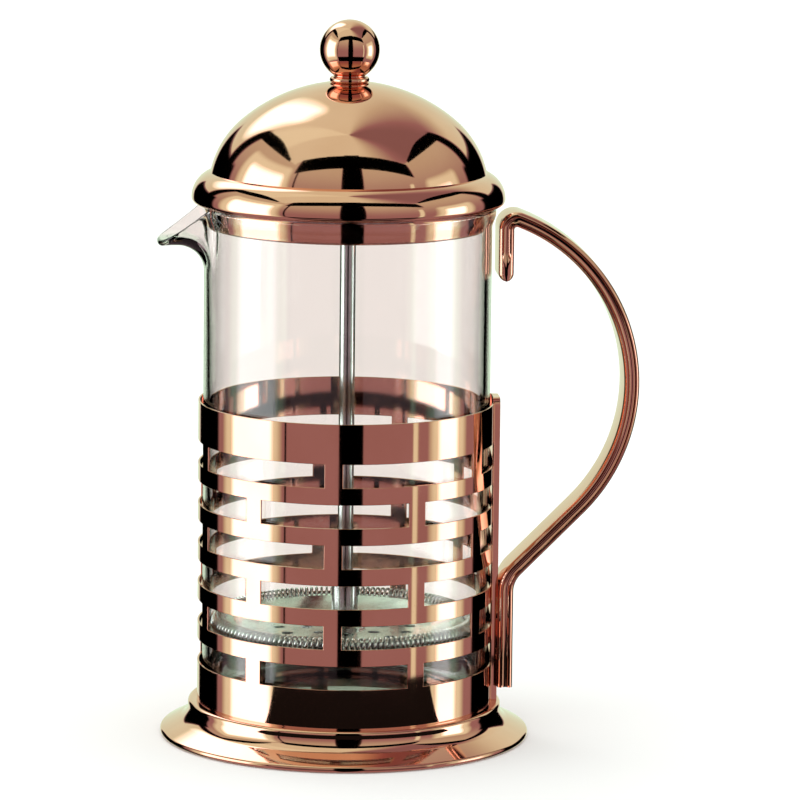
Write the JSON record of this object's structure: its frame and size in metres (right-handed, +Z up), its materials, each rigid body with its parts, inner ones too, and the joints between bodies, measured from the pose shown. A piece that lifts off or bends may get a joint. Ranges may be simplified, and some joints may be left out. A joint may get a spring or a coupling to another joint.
{
  "type": "french press",
  "caption": "French press with a copper-coloured slotted frame and grooved handle, glass beaker with a spout, domed lid, round knob and a spring-edged filter plunger.",
  "frame": {"origin": "centre of the flat underside of the foot, on the axis of the beaker and plunger", "axes": "+Z up along the plunger, +X towards the handle, spout on -X"},
  "size_m": [0.1613, 0.124, 0.2412],
  "materials": {
    "copper_plate": "mirror-polished copper-coloured plating over steel",
    "inner_steel": "bright drawn stainless steel",
    "black_plastic": "moulded black plastic",
    "soft_rubber": "soft black rubber",
    "clear_glass": "clear heat-resistant glass"
  },
  "bodies": {
    "frame": {"slotted_sleeve": "copper_plate", "seam_strap": "copper_plate", "handle": "copper_plate", "base_ring": "copper_plate", "base_plate": "inner_steel", "base_cover": "black_plastic", "seat_cushion": "soft_rubber"},
    "beaker": {"glass_beaker": "clear_glass"},
    "lid": {"lid_dome": "copper_plate", "lid_liner": "copper_plate", "liner_bush": "black_plastic", "lid_ferrule": "copper_plate", "ferrule_nut": "inner_steel"},
    "plunger": {"plunger_rod": "inner_steel", "hub_sleeve": "inner_steel", "spiral_plate": "inner_steel", "coil_spring": "inner_steel", "filter_mesh": "inner_steel", "cross_plate": "inner_steel", "hub_nut": "inner_steel"},
    "knob": {"knob_ball": "copper_plate", "knob_insert": "copper_plate"}
  },
  "joints": [
    {"name": "beaker_lift", "type": "slide", "parent": "frame", "child": "beaker", "axis": [0, 0, 1], "range_m": [0, 0.11]},
    {"name": "lid_lift", "type": "slide", "parent": "beaker", "child": "lid", "axis": [0, 0, 1], "range_m": [0, 0.16]},
    {"name": "plunger_slide", "type": "slide", "parent": "lid", "child": "plunger", "axis": [0, 0, 1], "range_m": [0, 0.1177]},
    {"name": "knob_unscrew", "type": "hinge", "parent": "plunger", "child": "knob", "pos_m": [0, 0, 0.2312], "axis": [0, 0, 1], "range_deg": [0, 2880]}
  ]
}
